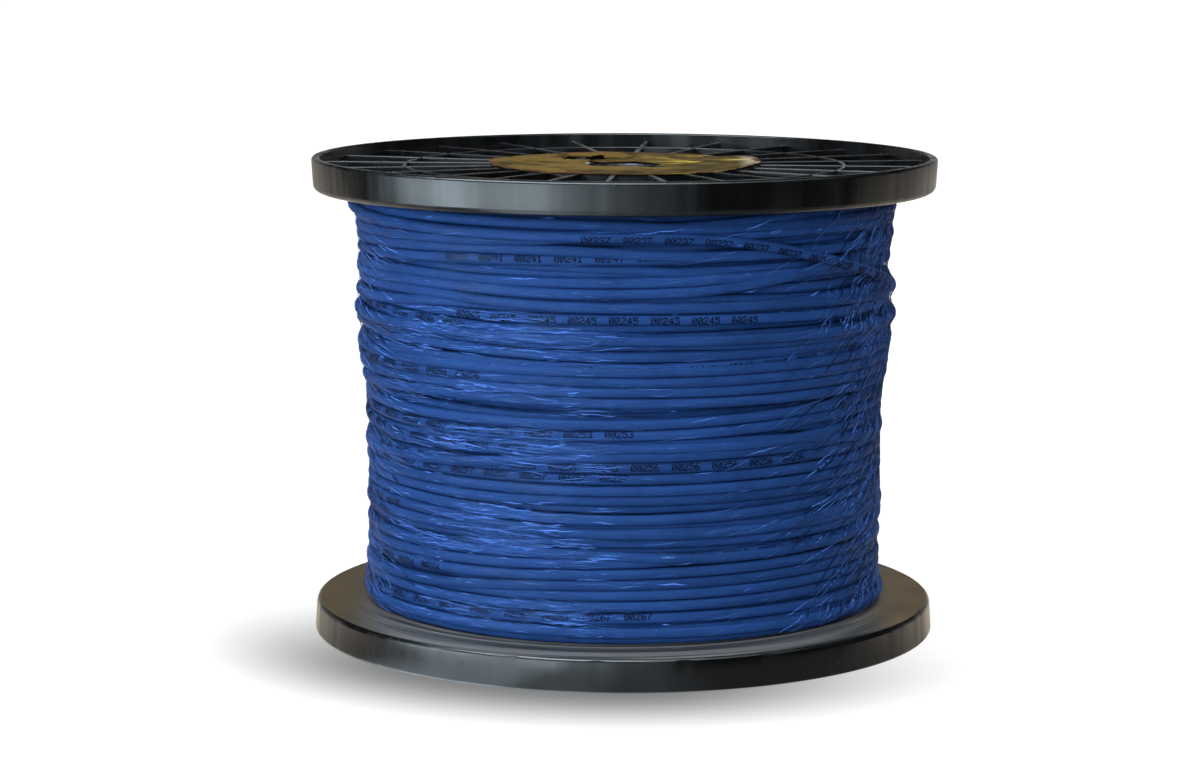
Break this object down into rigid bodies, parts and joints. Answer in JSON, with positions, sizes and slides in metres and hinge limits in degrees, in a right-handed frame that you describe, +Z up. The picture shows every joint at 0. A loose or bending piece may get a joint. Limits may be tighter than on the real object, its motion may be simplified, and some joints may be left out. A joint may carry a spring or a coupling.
{
  "type": "wire spool",
  "caption": "Black plastic cable reel full of slim blue jacketed cable, wrapped in clear film, standing on its lower flange.",
  "frame": {"origin": "on the spool's axis, in the plane of the lower rim that it stands on", "axes": "+Z up along the spool's axis, +X to the right in the picture's view, +Y away from it"},
  "size_m": [0.3046, 0.3046, 0.232],
  "materials": {
    "black_plastic": "gloss",
    "cable_jacket": "satin",
    "label_paper": "matte",
    "fibre_tube": "matte",
    "bush_steel": "satin",
    "zinc_steel": "satin",
    "stretch_film": "gloss"
  },
  "bodies": {
    "root": {"upper_flange": "black_plastic", "lower_flange": "black_plastic", "barrel": "fibre_tube", "upper_bush": "bush_steel", "lower_bush": "bush_steel", "tie_bolt_1": "zinc_steel", "tie_bolt_2": "zinc_steel", "tie_bolt_3": "zinc_steel", "tie_bolt_4": "zinc_steel", "nut_1": "zinc_steel", "nut_2": "zinc_steel", "nut_3": "zinc_steel", "nut_4": "zinc_steel", "upper_washer_1": "zinc_steel", "upper_washer_2": "zinc_steel", "upper_washer_3": "zinc_steel", "upper_washer_4": "zinc_steel", "lower_washer_1": "zinc_steel", "lower_washer_2": "zinc_steel", "lower_washer_3": "zinc_steel", "lower_washer_4": "zinc_steel", "inner_winding": "cable_jacket", "outer_winding": "cable_jacket", "upper_label": "label_paper"}
  },
  "joints": []
}
